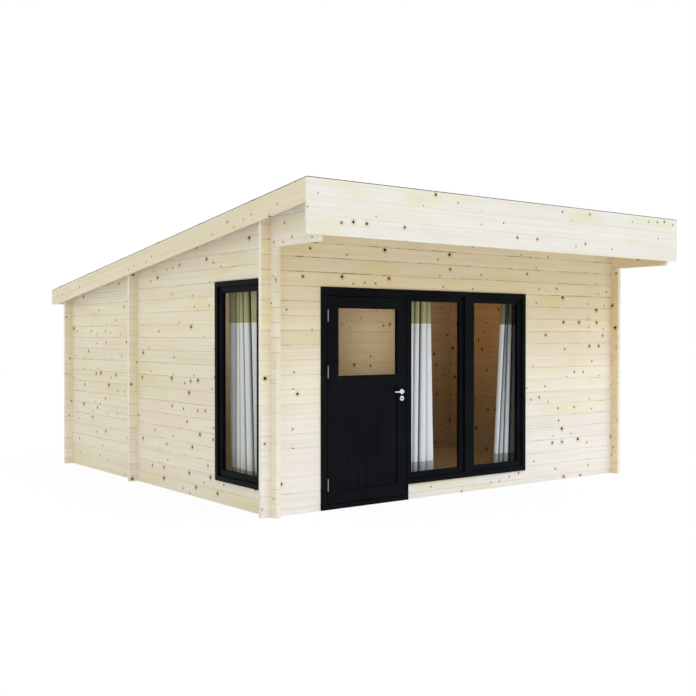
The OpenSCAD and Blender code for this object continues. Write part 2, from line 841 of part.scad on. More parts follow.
// Curtain gathered into even folds that hang under a rail
module curtain(w, rail_z) {
  folds = round(w / fold_w);
  steps = folds * fold_steps;
  wave = [for (k = [0 : steps]) [w * k / steps, fold_d * sin(360 * folds * k / steps)]];
  along_z(curtain_z0, rail_z - rail_r - seat_gap)
    polygon(concat(
      [for (p = wave) p - [0, cloth_t / 2]],
      [for (k = [steps : -1 : 0]) wave[k] + [0, cloth_t / 2]]
    ));
}
module front_left_curtain() {
  color(curtain_white) translate([light_x0, front_rail_y, 0]) curtain(left_curtain_w, front_rail_z);
}
module front_right_curtain() {
  color(curtain_white) translate([frame_x1 - right_curtain_w, front_rail_y, 0])
    curtain(right_curtain_w, front_rail_z);
}
module side_curtain() {
  color(curtain_white) translate([side_rail_x, side_y0 + frame_face, 0]) rotate([0, 0, 90])
    curtain(side_curtain_w, side_rail_z);
}

front_wall_left();
front_wall_right();
front_wall_sill();
front_wall_upper();
left_wall_front();
left_wall_rear();
left_wall_sill();
left_wall_upper();
right_wall_lower();
right_wall_upper();
back_wall();
partition_left();
partition_right();
partition_upper();
inner_doorway_jambs();
inner_doorway_head();
roof_boards();
roof_felt();
roof_purlins();
front_fascia();
rear_fascia();
barge_boards();
floor_joists();
floor_boards();
front_frame_uprights();
front_frame_head();
front_frame_sill();
door_threshold();
side_frame_uprights();
side_frame_head_and_sill();
sash_stiles();
sash_rails();
window_glass();
door_stiles();
door_rails();
door_panel();
door_glass();
hinge_frame_halves();
hinge_leaf_halves();
door_roses();
door_lever();
curtain_rails();
front_left_curtain();
front_right_curtain();
side_curtain();
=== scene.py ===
"""Visible model of a garden shed: spruce logs and boards, black joinery, glass, felt and curtains.

Metres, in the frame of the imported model: +X to the right along the front wall, +Y to the back,
+Z up, with the ground at z = 0.
"""

import math
import random

import bmesh
import bpy
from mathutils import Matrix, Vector


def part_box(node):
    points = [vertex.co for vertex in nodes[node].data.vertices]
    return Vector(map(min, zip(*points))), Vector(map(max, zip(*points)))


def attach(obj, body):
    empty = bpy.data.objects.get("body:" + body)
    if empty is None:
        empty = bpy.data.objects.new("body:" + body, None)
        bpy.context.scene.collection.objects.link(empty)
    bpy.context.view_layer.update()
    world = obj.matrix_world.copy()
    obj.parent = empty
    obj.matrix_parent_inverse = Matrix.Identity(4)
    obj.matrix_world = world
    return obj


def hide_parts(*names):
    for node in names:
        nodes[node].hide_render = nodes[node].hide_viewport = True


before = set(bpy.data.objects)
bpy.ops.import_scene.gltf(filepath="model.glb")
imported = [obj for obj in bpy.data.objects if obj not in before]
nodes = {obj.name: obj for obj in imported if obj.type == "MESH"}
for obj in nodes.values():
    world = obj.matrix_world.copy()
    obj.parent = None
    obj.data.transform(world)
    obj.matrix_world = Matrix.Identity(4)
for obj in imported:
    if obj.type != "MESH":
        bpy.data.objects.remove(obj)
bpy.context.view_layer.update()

# Camera, fitted to the edges of the shed
CAMERA_AT = (-7.0585, -9.490, 1.615)
CAMERA_PITCH = math.radians(90 - 0.711)
CAMERA_TURN = math.radians(-36.921)
CAMERA_LENS = 50.602

# Light: a dome that is warm at the horizon and cool overhead, a soft key and three lamps indoors
DOME_LOW = (0.50, 0.40, 0.29, 1.0)
DOME_HIGH = (0.84, 0.88, 0.77, 1.0)
DOME_SHOWN = (1.0, 1.0, 1.0, 1.0)
DOME_TURN = 0.55
KEY_COLOUR = (0.57, 0.69, 1.0)
KEY_LEVEL = 2.15
KEY_SPREAD = math.radians(50)
KEY_ELEVATION = math.radians(60)
KEY_AZIMUTH = math.radians(25)

# Lamps indoors: name, place, heading in degrees, colour and power
ROOM_LAMPS = [
    ("room_lamp_partition", (0.95, -0.5, 1.5), 0, (1.0, 0.97, 0.92), 2.2),
    ("room_lamp_left", (-1.3, -0.7, 1.6), 0, (1.0, 0.88, 0.80), 1.45),
    ("room_lamp_right", (0.9, -0.5, 1.7), -90, (1.0, 0.42, 0.13), 1.05),
]
ROOM_LAMP_SIZE = 0.6
ROOM_LAMP_TILT = 100
ROOM_LAMP_SPREAD = math.radians(110)

# Stage: a wide floor just under the ground
STAGE_SIZE = 60.0
STAGE_DROP = 0.001
STAGE_COLOUR = (0.93, 0.93, 0.93, 1.0)
STAGE_GLOW = 0.92

# Sizes repeated from the part
ROOF_SLOPE = math.radians(7.05)
ROOF_FALL = math.tan(ROOF_SLOPE)
LOG_H = 0.134
FIRST_SEAM_X = 0.057
FIRST_SEAM_Y = 0.124
FASCIA_BOARD_H = 0.157
BARGE_H = 0.204
ROOF_BOARD_T = 0.019
SASH_FACE = 0.057
SASH_INSET = 0.022
SASH_T = 0.040
PANE_INSET = 0.020
GROOVE_D = 0.012
FRAME_FACE = 0.047
MULLION_FACE = 0.092
GLASS_T = 0.008
RAIL_R = 0.010

# Roofing felt: where the first strip ends, and the spacing of the strips down the slope
FELT_FIRST = -2.0
FELT_STRIP = 0.93


# Node trees

class Field:
    """A value that varies over a surface. Arithmetic on it adds math nodes."""

    def __init__(self, graph, socket):
        self.graph, self.socket = graph, socket

    def __add__(self, other):
        return self.graph.math("ADD", self, other)

    def __sub__(self, other):
        return self.graph.math("SUBTRACT", self, other)

    def __mul__(self, other):
        return self.graph.math("MULTIPLY", self, other)

    def __truediv__(self, other):
        return self.graph.math("DIVIDE", self, other)

    def __pow__(self, other):
        return self.graph.math("POWER", self, other)

    def floor(self):
        return self.graph.math("FLOOR", self)

    def fract(self):
        return self.graph.math("FRACT", self)

    def absolute(self):
        return self.graph.math("ABSOLUTE", self)

    def under(self, limit):
        return self.graph.math("LESS_THAN", self, limit)

    def inverse(self):
        return self * -1.0 + 1.0

    def between(self, low, high):
        """Spreads a share of 0 to 1 from low to high."""
        return self * (high - low) + low

    def ease(self, low, high, start=0.0, end=1.0):
        """Smooth step from start to end while the value goes from low to high."""
        values = {"Value": self, "From Min": low, "From Max": high, "To Min": start, "To Max": end}
        return self.graph.node("ShaderNodeMapRange", "Result", values, interpolation_type="SMOOTHSTEP")


SHADER_INPUTS = {
    "base_color": "Base Color", "roughness": "Roughness", "metallic": "Metallic", "normal": "Normal",
    "alpha": "Alpha", "specular": "Specular IOR Level", "anisotropic": "Anisotropic",
    "sheen": "Sheen Weight", "sheen_roughness": "Sheen Roughness",
}


class Graph:
    """A material's node tree around one Principled shader."""

    def __init__(self, name, **settings):
        self.material = bpy.data.materials.new(name)
        self.material.use_nodes = True
        self.tree = self.material.node_tree
        self.shader = self.tree.nodes["Principled BSDF"]
        self.set(**settings)

    def set(self, **settings):
        """Sets or links the shader's inputs, named in lower case with underscores."""
        for key, value in settings.items():
            self.feed(self.shader.inputs[SHADER_INPUTS[key]], value)

    def feed(self, socket, value):
        if isinstance(value, Field):
            self.tree.links.new(value.socket, socket)
        else:
            socket.default_value = value

    def node(self, kind, output, inputs, **settings):
        made = self.tree.nodes.new(kind)
        for key, value in settings.items():
            setattr(made, key, value)
        for key, value in inputs.items():
            self.feed(made.inputs[key], value)
        return Field(self, made.outputs[output])

    def math(self, operation, first, second=0.0):
        return self.node("ShaderNodeMath", 0, {0: first, 1: second}, operation=operation)

    def mix(self, share, first, second, how="MIX"):
        inputs = {0: share, 6: first, 7: second}
        return self.node("ShaderNodeMix", 2, inputs, data_type="RGBA", blend_type=how)

    def dim(self, colour, shade):
        """A colour times a grey shade."""
        return self.mix(1.0, colour, self.join(shade, shade, shade), how="MULTIPLY")

    def split(self, vector):
        return [self.node("ShaderNodeSeparateXYZ", k, {0: vector}) for k in range(3)]

    def join(self, x, y, z=0.0):
        return self.node("ShaderNodeCombineXYZ", 0, {0: x, 1: y, 2: z})

    def cells(self, spot, per_unit):
        """A spot's coordinates, counted in cells of noise."""
        return self.join(*[value * count for value, count in zip(spot, per_unit)])

    def place(self, kind="Object"):
        return self.split(self.node("ShaderNodeTexCoord", kind, {}))

    def noise(self, vector, detail=2.0, roughness=0.5, scale=1.0):
        values = {"Vector": vector, "Scale": scale, "Detail": detail, "Roughness": roughness}
        return self.node("ShaderNodeTexNoise", 0, values)

    def chance(self, value):
        """Three random numbers that hold for as long as the value does."""
        colour = self.node("ShaderNodeTexWhiteNoise", "Color", {"W": value}, noise_dimensions="1D")
        return self.split(colour)

    def bump(self, height, depth):
        return self.node("ShaderNodeBump", 0, {"Height": height, "Distance": depth, "Strength": 1.0})


def srgb(red, green, blue):
    """Linear colour of a picture's 0 to 255 values."""
    def linear(value):
        share = value / 255
        return share / 12.92 if share <= 0.04045 else ((share + 0.055) / 1.055) ** 2.4
    return (linear(red), linear(green), linear(blue), 1.0)


# Materials

# Planed spruce: its colours

PALE_SPRUCE = srgb(247, 239, 229)
WARM_SPRUCE = srgb(240, 227, 207)
LATE_SPRUCE = srgb(212, 183, 138)
END_SPRUCE = {"X": srgb(244, 238, 228), "Y": srgb(240, 227, 196), "Z": srgb(243, 232, 206)}
GREEN_CLOUD = srgb(239, 230, 198)
PINK_CLOUD = srgb(246, 230, 218)
SEAM_SHADE = srgb(120, 72, 8)
KNOT_CORE = srgb(32, 16, 2)
KNOT_RED = srgb(98, 60, 30)
KNOT_HALO = srgb(204, 168, 88)
# Warm painted shade on faces that turn inwards
INWARD_PAINTED_SHADE = (0.98, 0.90, 0.70, 1.0)

# How much of a colour goes over the wood, and the range in which it comes in
STREAK_RANGE = (0.35, 0.75)
GREEN_SHARE, GREEN_RANGE = 0.8, (0.52, 0.75)
PINK_SHARE, PINK_RANGE = 0.7, (0.48, 0.25)
LATE_SHARE = 0.10
END_SHARE, END_RANGE = 0.75, (0.5, 0.8)
HALO_SHARE = 0.6
RED_RANGE = (0.7, 0.9)

# Tone of the wood, and its spread from board to board and from fibre to fibre
SPRUCE_TONE = 0.985
BOARD_SPREAD = 0.06
FIBRE_SPREAD = 0.04

# Tints and painted shade: the height where the wood is palest, the height where it is darkest, its tint
# there and the stretch of the run over which the tint sets in. On the walls the tint is painted shade,
# warmer and darker higher up, up to the eaves on the front wall; on the trim and the fascia it is one
# tint all over
EVERYWHERE = (-9.0, -8.0)
FRONT_PAINTED_SHADE = (0.2, 2.3, (1.0, 0.93, 0.745, 1.0), EVERYWHERE)
SIDE_PAINTED_SHADE = (0.2, 1.1, (0.96, 0.945, 0.86, 1.0), (-2.4, -1.6))
REAR_PAINTED_SHADE = (0.2, 1.1, (0.96, 0.945, 0.86, 1.0), EVERYWHERE)
TRIM_TINT = (-2.0, -1.0, (0.93, 0.905, 0.79, 1.0), EVERYWHERE)
FASCIA_TINT = (-2.0, -1.0, (0.92, 0.93, 0.92, 1.0), EVERYWHERE)

# Middle and half of the indoor stretch along each run, and how far a face has to turn inwards to take
# the warm painted shade
INDOORS = {"X": (0.0, 2.348), "Y": (-0.177, 2.730), "Z": (1.0, 1.1)}
INWARD = -0.1

# Boards: layers per metre through the wood, and the steps that set layers and boards apart
DEPTH_CELLS = 2.0
LAYER_STEP = 37.0
GRAIN_STEP = 40.0

# Growth rings
RING_W = 0.0052
RING_POWER = 3.0
PITH_SPREAD = 0.13
WARP_W = 0.022
RIPPLE_W = 0.003

# Cells of noise per metre along the grain, across the board and through it
WARP_CELLS = (0.5, 4.0, 4.0)
RIPPLE_CELLS = (5.0, 30.0, 30.0)
STREAK_CELLS = (0.5, 40.0, 20.0)
FIBRE_CELLS = (14.0, 700.0, 700.0)
CLOUD_CELLS = (1.3, 3.0, 1.0)
RAGGED_CELLS = (60.0, 90.0)

# Knots: cells per metre, the share of cells with a knot, and the knots' radii, edges and halos
KNOT_CELLS = 7.0
KNOT_SHARE = 0.28
KNOT_SCATTER = 0.85
KNOT_ROW_STEP = 10.0
KNOT_LAYER_STEP = 130.0
KNOT_RADII = (0.0052, 0.0152)
KNOT_POWER = 3.0
KNOT_RAGGED = (0.75, 1.25)
KNOT_EDGE = (1.15, 0.98)
HALO_EDGE = (3.6, 1.0)
HALO_RADII = (0.001, 0.003)
NO_RADIUS = 0.00001

# Joints between boards: the distance from the edge where the shade ends and where it is full, cells of
# noise per metre, board and layer, and the strength of the shade low down and under the eaves
SEAM_EDGE = (0.0044, 0.0011)
STRETCH_CELLS = (1.4, 9.7, 1.0)
STRETCH_RANGE = (0.38, 0.66)
CRACK_CELLS = (7.0, 5.3, 1.0)
CRACK_RANGE = (0.52, 0.62)
CRACK_SHARE = 0.75
EAVES = (1.75, 2.25)
PLAIN_JOINT = (0.58, 0.58)
FRONT_JOINT = (0.50, 2.0)
FASCIA_JOINT = (0.12, 0.12)
NO_JOINT = (0.0, 0.0)

# Surface of the wood
SPRUCE_ROUGHNESS = (0.48, 0.68)
SPRUCE_RELIEF = 0.0004
LATE_RELIEF = 0.3
FIBRE_RELIEF = 0.35
CORE_RELIEF = 0.4


def spruce(
    name, run, across, first, pitch, tint_and_shade, shear=0.0, seed=0.0, joint=PLAIN_JOINT, knots=1.0
):
    """Planed spruce boards: grain along run, one board every pitch across from first.

    tint_and_shade is one of the tints above, painted shade on the walls, and joint one of the strengths
    of the shade between two boards.
    shear is the slope of the boards, seed sets their figure, and knots scales the knots.
    """
    graph = Graph(name, specular=0.06)
    axes = dict(zip("XYZ", graph.place()))
    facing = dict(zip("XYZ", graph.place("Normal")))
    along, height = axes[run], axes[across]
    through = ({"X", "Y", "Z"} - {run, across}).pop()
    depth = axes[through]
    if shear:
        height = height + along * shear
    end = facing[run].absolute().ease(*END_RANGE)
    side_face = end.inverse()

    board = (height - first) / pitch
    index = board.floor()
    local = (board - index - 0.5) * pitch
    layer = (depth * DEPTH_CELLS).floor()
    tone, pith, turn = graph.chance(index + layer * LAYER_STEP + seed)
    grain = along + tone * GRAIN_STEP
    spot = (grain, local, depth)

    # Growth rings around a pith that lies off the board
    warp = graph.noise(graph.cells(spot, WARP_CELLS), detail=3.0) * WARP_W
    ripple = graph.noise(graph.cells(spot, RIPPLE_CELLS)) * RIPPLE_W
    level = local - (pith - 0.5) * PITH_SPREAD
    deep = depth - (layer + 0.5) / DEPTH_CELLS
    radius = graph.math("SQRT", level * level + deep * deep) + warp + ripple
    late = (radius / RING_W).fract() ** RING_POWER
    streak = graph.noise(graph.cells(spot, STREAK_CELLS), detail=4.0, roughness=0.6)
    fibre = graph.noise(graph.cells(spot, FIBRE_CELLS))
    cloud = graph.noise(graph.cells((grain, height, depth), CLOUD_CELLS), detail=1.0)

    # Knots: one row of cells to a board
    row = local * KNOT_CELLS + (index * KNOT_ROW_STEP + 0.5) + layer * KNOT_LAYER_STEP
    inputs = {"Vector": graph.join(grain * KNOT_CELLS, row), "Scale": 1.0, "Randomness": KNOT_SCATTER}
    settings = {"voronoi_dimensions": "2D", "feature": "F1"}
    reach = graph.node("ShaderNodeTexVoronoi", "Distance", inputs, **settings) / KNOT_CELLS
    drawn, large, red = graph.split(graph.node("ShaderNodeTexVoronoi", "Color", inputs, **settings))
    ragged = graph.noise(graph.cells((grain, local), RAGGED_CELLS)).between(*KNOT_RAGGED)
    size = (large ** KNOT_POWER).between(*KNOT_RADII) * knots * drawn.under(KNOT_SHARE) * side_face
    near = reach * ragged / (size + NO_RADIUS)
    core = near.ease(*KNOT_EDGE)
    halo = near.ease(*HALO_EDGE) * size.ease(*HALO_RADII)

    # Shade in the joints, deeper on some stretches than on others
    edge = local.absolute() * -1.0 + pitch / 2
    spot = (along, index, layer)
    stretch = graph.noise(graph.cells(spot, STRETCH_CELLS)).ease(*STRETCH_RANGE)
    crack = graph.noise(graph.cells(spot, CRACK_CELLS), detail=3.0).ease(*CRACK_RANGE)
    seam = edge.ease(*SEAM_EDGE) * (stretch * (1 - CRACK_SHARE) + crack * CRACK_SHARE)

    colour = graph.mix(streak.ease(*STREAK_RANGE), PALE_SPRUCE, WARM_SPRUCE)
    colour = graph.mix(cloud.ease(*GREEN_RANGE) * GREEN_SHARE, colour, GREEN_CLOUD)
    colour = graph.mix(cloud.ease(*PINK_RANGE) * PINK_SHARE, colour, PINK_CLOUD)
    colour = graph.mix(late * LATE_SHARE, colour, LATE_SPRUCE)
    colour = graph.mix(end * END_SHARE, colour, END_SPRUCE[run])
    colour = graph.mix(halo * HALO_SHARE, colour, KNOT_HALO)
    colour = graph.mix(core, colour, graph.mix(red.ease(*RED_RANGE), KNOT_CORE, KNOT_RED))
    colour = graph.mix(seam * axes["Z"].ease(*EAVES, *joint), colour, SEAM_SHADE)
    shade = (turn - 0.5) * BOARD_SPREAD + (fibre - 0.5) * FIBRE_SPREAD + SPRUCE_TONE
    colour = graph.dim(colour, shade)
    # Painted shade on the walls, warmer and darker with height; one even tint on the trim
    palest, darkest, tint, sets_in = tint_and_shade
    tint_share = axes["Z"].ease(palest, darkest) * along.ease(*sets_in) * side_face
    colour = graph.mix(tint_share, colour, tint, how="MULTIPLY")
    # Warm painted shade on faces that turn inwards within the indoor stretch
    middle, half = INDOORS[run]
    indoors = (along - middle).absolute().under(half)
    inward = (facing[through] * depth).under(INWARD) * indoors
    colour = graph.mix(inward, colour, INWARD_PAINTED_SHADE, how="MULTIPLY")
    relief = late * LATE_RELIEF + fibre * FIBRE_RELIEF + core * CORE_RELIEF
    graph.set(
        base_color=colour,
        roughness=streak.between(*SPRUCE_ROUGHNESS),
        normal=graph.bump(relief, SPRUCE_RELIEF),
    )
    return graph.material


# Satin black paint, with cells of noise per metre across the grain and along it

PAINT_DARK = srgb(8, 9, 11)
PAINT_LIGHT = srgb(17, 18, 21)
PAINT_CLOUD = srgb(20, 23, 30)
PAINT_CELLS_ACROSS = 90.0
PAINT_CELLS_ALONG = 2.2
PAINT_GRAIN_RANGE = (0.3, 0.75)
PAINT_CLOUD_SHARE, PAINT_CLOUD_RANGE = 0.4, (0.4, 0.7)
PAINT_ROUGHNESS = (0.34, 0.56)
PAINT_RELIEF = 0.0005


def black_paint(name, run):
    """Satin black paint over brushed wood grain along run, which may be two axes."""
    graph = Graph(name, specular=0.04)
    spot = graph.place()
    cells = [PAINT_CELLS_ALONG if axis in run else PAINT_CELLS_ACROSS for axis in "XYZ"]
    grain = graph.noise(graph.cells(spot, cells), detail=5.0, roughness=0.62)
    cloud = graph.noise(graph.join(*spot), scale=2.3)
    colour = graph.mix(grain.ease(*PAINT_GRAIN_RANGE), PAINT_DARK, PAINT_LIGHT)
    colour = graph.mix(cloud.ease(*PAINT_CLOUD_RANGE) * PAINT_CLOUD_SHARE, colour, PAINT_CLOUD)
    graph.set(
        base_color=colour,
        roughness=grain.between(*PAINT_ROUGHNESS),
        normal=graph.bump(grain, PAINT_RELIEF),
    )
    return graph.material


# Glass: the slants between which it turns from clear to glossy, and how opaque it is at each

GLASS_TINT = srgb(14, 18, 18)
GLASS_SLANTS = (0.45, 1.0)
GLASS_OPACITY = (0.04, 0.50)


def clear_glass(name):
    """Clear pane: see-through face on, with more gloss at a slant."""
    graph = Graph(name, base_color=GLASS_TINT, roughness=0.02, specular=0.5)
    slant = graph.node("ShaderNodeLayerWeight", "Facing", {"Blend": 0.5})
    graph.set(alpha=slant.ease(*GLASS_SLANTS, *GLASS_OPACITY))
    return graph.material


# Steel: the darker and the lighter colour of its brush marks

BRIGHT_STEEL = (srgb(226, 228, 230), srgb(248, 249, 250))
DULL_STEEL = (srgb(132, 133, 135), srgb(160, 161, 163))
BRUSH_CELLS = (40.0, 900.0, 900.0)
STEEL_ROUGHNESS = (0.22, 0.38)
STEEL_RELIEF = 0.00005


def brushed_steel(name, dark, light):
    """Steel with fine brush marks along X."""
    graph = Graph(name, metallic=1.0, anisotropic=0.4)
    brush = graph.noise(graph.cells(graph.place(), BRUSH_CELLS), detail=3.0)
    graph.set(
        base_color=graph.mix(brush, dark, light),
        roughness=brush.between(*STEEL_ROUGHNESS),
        normal=graph.bump(brush, STEEL_RELIEF),
    )
    return graph.material


# Felt

FELT_DARK = srgb(38, 39, 41)
FELT_LIGHT = srgb(74, 75, 77)
FELT_SPECK = srgb(128, 129, 130)
FELT_STAIN = srgb(52, 52, 53)
FELT_TONES = (0.92, 1.08)
GRIT_RANGE = (0.35, 0.7)
SPECK_SHARE, SPECK_RANGE = 0.6, (0.86, 0.95)
STAIN_SHARE, STAIN_RANGE = 0.35, (0.4, 0.75)
STAIN_CELLS = (0.9, 2.5, 1.0)
FELT_ROUGHNESS = (0.82, 0.92)
FELT_RELIEF = 0.001


def mineral_felt(name):
    """Bitumen felt under fine slate granules, laid in strips across the slope."""
    graph = Graph(name, specular=0.3)
    spot = graph.place()
    strip = ((spot[1] - FELT_FIRST) / FELT_STRIP).floor()
    tone = graph.chance(strip)[0]
    grit = graph.noise(graph.join(*spot), scale=420.0)
    speck_inputs = {"Vector": graph.join(*spot), "Scale": 520.0}
    speck = graph.node("ShaderNodeTexVoronoi", "Color", speck_inputs, feature="F1")
    bright = graph.split(speck)[0].ease(*SPECK_RANGE)
    stain = graph.noise(graph.cells(spot, STAIN_CELLS), detail=4.0)
    colour = graph.mix(grit.ease(*GRIT_RANGE), FELT_DARK, FELT_LIGHT)
    colour = graph.mix(bright * SPECK_SHARE, colour, FELT_SPECK)
    colour = graph.mix(stain.ease(*STAIN_RANGE) * STAIN_SHARE, colour, FELT_STAIN)
    graph.set(
        base_color=graph.dim(colour, tone.between(*FELT_TONES)),
        roughness=grit.between(*FELT_ROUGHNESS),
        normal=graph.bump(grit, FELT_RELIEF),
    )
    return graph.material


# Curtain cloth: the darker and the lighter colour of each band, and where the bands end

CLOTH_WHITE = (srgb(249, 250, 250), srgb(254, 254, 254))
CLOTH_OLIVE = (srgb(180, 176, 124), srgb(196, 191, 140))
CLOTH_GREY = (srgb(180, 185, 184), srgb(198, 202, 200))
CLOTH_SHADE = srgb(30, 32, 30)
OLIVE_FROM_Z = 1.74
GREY_BELOW_Z = 0.34
BAND_EDGE = 0.004
THREADS = 900.0
SLUB_CELLS = (60.0, 4.0)
WEAVE_SHARE = 0.6
CLOTH_ROUGHNESS = (0.8, 0.9)
CLOTH_RELIEF = 0.0004
FOLD_SHADE = "fold_shade"


def curtain_cloth(name):
    """Plain weave with a dyed band at the top and another at the hem, shaded in its folds."""
    graph = Graph(name, specular=0.1, sheen=0.1, sheen_roughness=0.5)
    height = graph.place()[2]
    across, down = graph.place("UV")[:2]
    warp = graph.math("SINE", across * (THREADS * math.tau))
    weft = graph.math("SINE", down * (THREADS * math.tau))
    weave = warp * weft * 0.5 + 0.5
    slub = graph.noise(graph.cells((across, down), SLUB_CELLS), detail=3.0)
    top = height.ease(OLIVE_FROM_Z - BAND_EDGE, OLIVE_FROM_Z + BAND_EDGE)
    hem = height.ease(GREY_BELOW_Z + BAND_EDGE, GREY_BELOW_Z - BAND_EDGE)
    shade = graph.node("ShaderNodeAttribute", "Fac", {}, attribute_name=FOLD_SHADE)
    colour = graph.mix(slub, *CLOTH_WHITE)
    colour = graph.mix(top, colour, graph.mix(slub, *CLOTH_OLIVE))
    colour = graph.mix(hem, colour, graph.mix(slub, *CLOTH_GREY))
    relief = weave * WEAVE_SHARE + slub * (1 - WEAVE_SHARE)
    graph.set(
        base_color=graph.mix(shade, colour, CLOTH_SHADE),
        roughness=slub.between(*CLOTH_ROUGHNESS),
        normal=graph.bump(relief, CLOTH_RELIEF),
    )
    return graph.material


# Pieces

def piece(name, mesh, material, body, smooth=False):
    """Turns a bmesh into an object that rides on a body and takes a slot's finish."""
    bmesh.ops.recalc_face_normals(mesh, faces=mesh.faces)
    data = bpy.data.meshes.new(name)
    mesh.to_mesh(data)
    mesh.free()
    for polygon in data.polygons:
        polygon.use_smooth = smooth
    data.materials.append(material)
    made = bpy.data.objects.new(name, data)
    bpy.context.scene.collection.objects.link(made)
    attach(made, body)
    return made


def prism(mesh, section, start, end):
    """Closed prism: a section's points at start, joined to the same points at end."""
    near = [mesh.verts.new(start + point) for point in section]
    far = [mesh.verts.new(end + point) for point in section]
    mesh.faces.new(near[::-1])
    mesh.faces.new(far)
    skin(mesh, near, far)


def skin(mesh, first, second):
    """Closed band of quads between two loops."""
    for k in range(len(first)):
        n = (k + 1) % len(first)
        mesh.faces.new((first[k], first[n], second[n], second[k]))


# Roof and floor boards

BOARD_CHAMFER = 0.003
BOARD_GAP = 0.0008
ROOF_BOARD_W = 0.121
FLOOR_BOARD_W = 0.118
DOORWAY_INSET = 0.10


def roof_boards():
    """Boards down the slope, each with its lower edges chamfered."""
    low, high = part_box("roof_boards")
    thick = ROOF_BOARD_T / math.cos(ROOF_SLOPE)
    count = round((high.x - low.x) / ROOF_BOARD_W)
    width = (high.x - low.x) / count
    fall = Vector((0, high.y - low.y, -(high.y - low.y) * ROOF_FALL))
    mesh = bmesh.new()
    wide, cut = width - BOARD_GAP, BOARD_CHAMFER
    section = [
        Vector((0, 0, 0)), Vector((wide, 0, 0)), Vector((wide, 0, cut - thick)),
        Vector((wide - cut, 0, -thick)), Vector((cut, 0, -thick)), Vector((0, 0, cut - thick)),
    ]
    for k in range(count):
        start = Vector((low.x + k * width + BOARD_GAP / 2, low.y, high.z))
        prism(mesh, section, start, start + fall)
    wood = spruce("roof_board_spruce", "Y", "X", low.x, width, TRIM_TINT, seed=5.0)
    made = piece("roof_boards_laid", mesh, wood, "shed")
    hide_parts("roof_boards")


def floor_boards():
    """Boards from front to back in both rooms and in the doorway between them."""
    low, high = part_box("floor_boards")
    wall_low, wall_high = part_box("partition_upper")
    frame_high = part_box("door_threshold")[1]
    door_low, door_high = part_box("inner_doorway_head")
    count = round((high.x - low.x) / FLOOR_BOARD_W)
    width = (high.x - low.x) / count
    thick, cut, wide = high.z - low.z, BOARD_CHAMFER / 2, width - BOARD_GAP
    section = [
        Vector((0, 0, -thick)), Vector((wide, 0, -thick)), Vector((wide, 0, -cut)),
        Vector((wide - cut, 0, 0)), Vector((cut, 0, 0)), Vector((0, 0, -cut)),
    ]
    mesh = bmesh.new()
    for k in range(count):
        x = low.x + k * width + BOARD_GAP / 2
        in_doorway = door_low.x + DOORWAY_INSET < x and x + wide < door_high.x - DOORWAY_INSET
        spans = [(frame_high.y, high.y)] if in_doorway else [
            (frame_high.y, wall_low.y), (wall_high.y, high.y)
        ]
        for y0, y1 in spans:
            prism(mesh, section, Vector((x, y0, high.z)), Vector((x, y1, high.z)))
    wood = spruce("floor_board_spruce", "Y", "X", low.x, width, TRIM_TINT, seed=9.0)
    made = piece("floor_boards_laid", mesh, wood, "shed")
    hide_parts("floor_boards")


# Felt laps

LAP_LAST = 0.2
LAP_RUN = 0.16
LAP_LIP = 0.001
LAP_STEP = 0.0028
LAP_CRESTS = (0.85, 1.2)
LAP_WAVER = 0.0015
LAP_STATIONS = 90
LAP_SEED = 3


def felt_laps(material):
    """Lower edge of each felt strip, where it lies on the strip below it."""
    low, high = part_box("roof_felt")
    rng = random.Random(LAP_SEED)
    mesh = bmesh.new()

    def on_roof(x, y, lift):
        return mesh.verts.new((x, y, high.z - (y - low.y) * ROOF_FALL + lift))

    lap = FELT_FIRST
    while lap < high.y - LAP_LAST:
        rows = []
        for k in range(LAP_STATIONS + 1):
            x = low.x + (high.x - low.x) * k / LAP_STATIONS
            edge = lap + rng.uniform(-LAP_WAVER, LAP_WAVER)
            crest = LAP_STEP * rng.uniform(*LAP_CRESTS)
            profile = ((edge - LAP_RUN, 0.0), (edge, crest), (edge + LAP_LIP, 0.0))
            rows.append([on_roof(x, y, lift) for y, lift in profile])
        for first, second in zip(rows, rows[1:]):
            skin(mesh, first, second)
        mesh.faces.new(rows[0])
        mesh.faces.new(rows[-1][::-1])
        lap += FELT_STRIP
    piece("roof_felt_laps", mesh, material, "shed")


# Glazing beads

BEAD_W = 0.006
BEAD_RELIEF = 0.002
BEAD_FLAT = 0.002


def bead_ring(mesh, spot, box, depth):
    """Mitred bead around a pane. spot maps (across, up, out) to a point; box is the bared pane."""
    u0, u1, v0, v1 = box
    section = [(0.0, 0.0), (BEAD_W, 0.0), (BEAD_W, BEAD_FLAT), (BEAD_FLAT, depth), (0.0, depth)]
    loops = [
        [
            mesh.verts.new(spot(u, v, out))
            for u, v in ((u0 + w, v0 + w), (u1 - w, v0 + w), (u1 - w, v1 - w), (u0 + w, v1 - w))
        ]
        for w, out in section
    ]
    for first, second in zip(loops, loops[1:] + loops[:1]):
        skin(mesh, first, second)


def both_faces(mesh, spot_at, faces, box):
    """Beads on the two sides of a pane. faces are (pane face, bar face, direction out)."""
    for pane, bar, way in faces:
        depth = abs(bar - pane) - BEAD_RELIEF
        bead_ring(mesh, spot_at(pane, way), box, depth)


